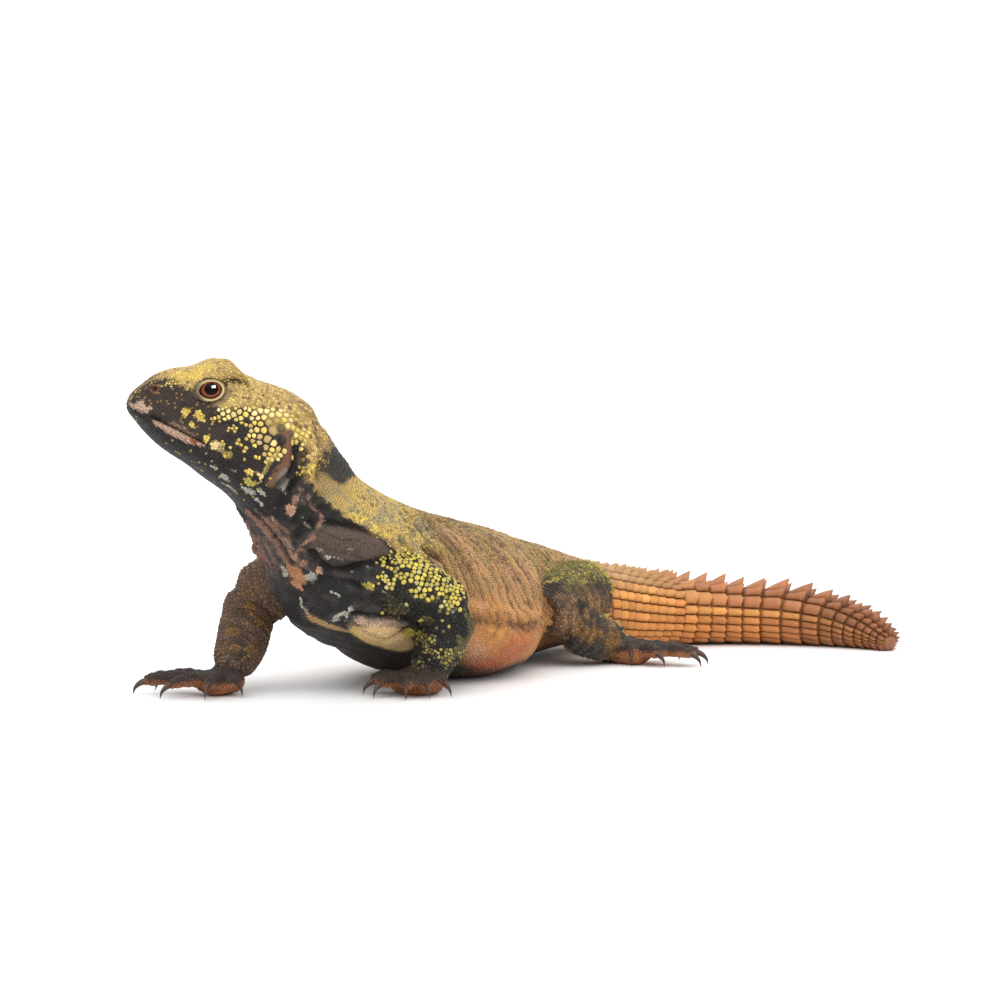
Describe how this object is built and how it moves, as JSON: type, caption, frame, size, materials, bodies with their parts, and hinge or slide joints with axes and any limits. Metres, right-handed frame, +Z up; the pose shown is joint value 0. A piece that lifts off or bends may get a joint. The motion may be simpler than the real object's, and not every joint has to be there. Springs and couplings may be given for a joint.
{
  "type": "spiny-tailed lizard model",
  "caption": "Life-size still model of a spiny-tailed lizard propped on its front legs, belly and ringed spiny tail on the floor, head raised and turned.",
  "frame": {"origin": "middle of the model in the plan, on the floor that its belly, soles and tail rest on", "axes": "the trunk faces -Y with the animal's left side at +X, and +Z is up; the head is turned to its right and the tail curls to its left"},
  "size_m": [0.1691, 0.2604, 0.0988],
  "materials": {
    "head_skin": "dry scales",
    "body_skin": "dry scales",
    "tail_skin": "dry horny scales",
    "limb_skin": "dry scales",
    "eyes": "wet gloss",
    "claws": "horn, satin"
  },
  "bodies": {
    "root": {"head": "head_skin", "eye_left": "eyes", "eye_right": "eyes", "neck": "body_skin", "torso": "body_skin", "tail_1": "tail_skin", "tail_2": "tail_skin", "tail_3": "tail_skin", "tail_4": "tail_skin", "upper_arm_left": "limb_skin", "forearm_left": "limb_skin", "hand_left": "limb_skin", "thigh_left": "limb_skin", "shank_left": "limb_skin", "foot_left": "limb_skin", "claw_hand_left_1": "claws", "claw_hand_left_2": "claws", "claw_hand_left_3": "claws", "claw_hand_left_4": "claws", "claw_hand_left_5": "claws", "claw_foot_left_1": "claws", "claw_foot_left_2": "claws", "claw_foot_left_3": "claws", "claw_foot_left_4": "claws", "claw_foot_left_5": "claws", "upper_arm_right": "limb_skin", "forearm_right": "limb_skin", "hand_right": "limb_skin", "thigh_right": "limb_skin", "shank_right": "limb_skin", "foot_right": "limb_skin", "claw_hand_right_1": "claws", "claw_hand_right_2": "claws", "claw_hand_right_3": "claws", "claw_hand_right_4": "claws", "claw_hand_right_5": "claws", "claw_foot_right_1": "claws", "claw_foot_right_2": "claws", "claw_foot_right_3": "claws", "claw_foot_right_4": "claws", "claw_foot_right_5": "claws"}
  },
  "joints": []
}
